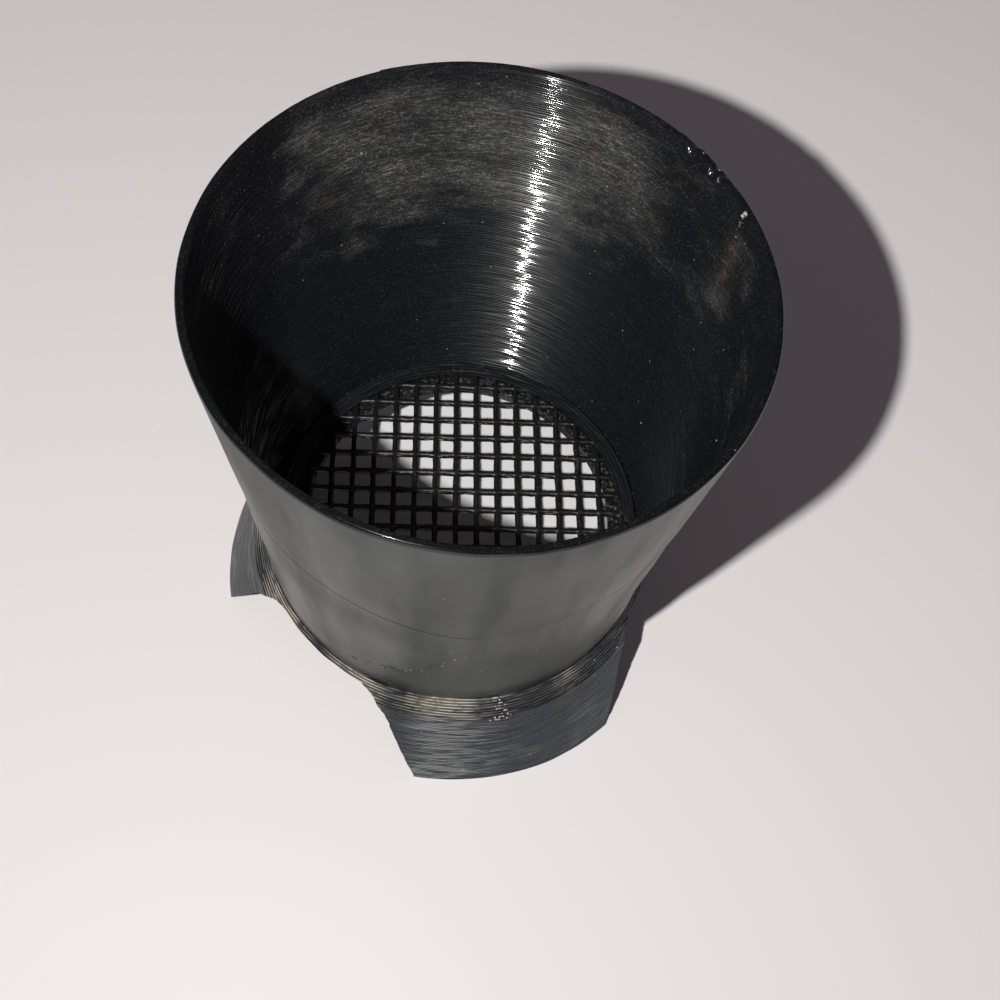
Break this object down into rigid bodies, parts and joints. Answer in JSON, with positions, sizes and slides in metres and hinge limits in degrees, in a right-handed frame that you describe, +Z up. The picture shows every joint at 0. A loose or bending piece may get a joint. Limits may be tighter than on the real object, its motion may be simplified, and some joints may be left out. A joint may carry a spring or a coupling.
{
  "type": "seed starting pot",
  "caption": "Small tapered seed pot with a loose lattice floor that pushes up from below, standing on a flared base with broad feet and arched gaps.",
  "frame": {"origin": "on the pot's axis, in the plane that the feet stand on", "axes": "+Z up along the pot's axis, -Y towards the front foot"},
  "size_m": [0.0425, 0.0428, 0.0452],
  "materials": {
    "printed_plastic": "satin black, fine printed layer lines",
    "lattice_plastic": "satin black, single printed lines with traces of soil",
    "vinyl_tape": "smooth semi-gloss black vinyl with small creases"
  },
  "bodies": {
    "base": {"footed_base": "printed_plastic"},
    "cup": {"cup": "printed_plastic", "lower_tape": "vinyl_tape", "upper_tape": "vinyl_tape"},
    "floor": {"mesh_floor": "lattice_plastic"}
  },
  "joints": [
    {"name": "cup_lift", "type": "slide", "parent": "base", "child": "cup", "axis": [0, 0, 1], "range_m": [0, 0.03]},
    {"name": "floor_push", "type": "slide", "parent": "cup", "child": "floor", "axis": [0, 0, 1], "range_m": [0, 0.033]}
  ]
}
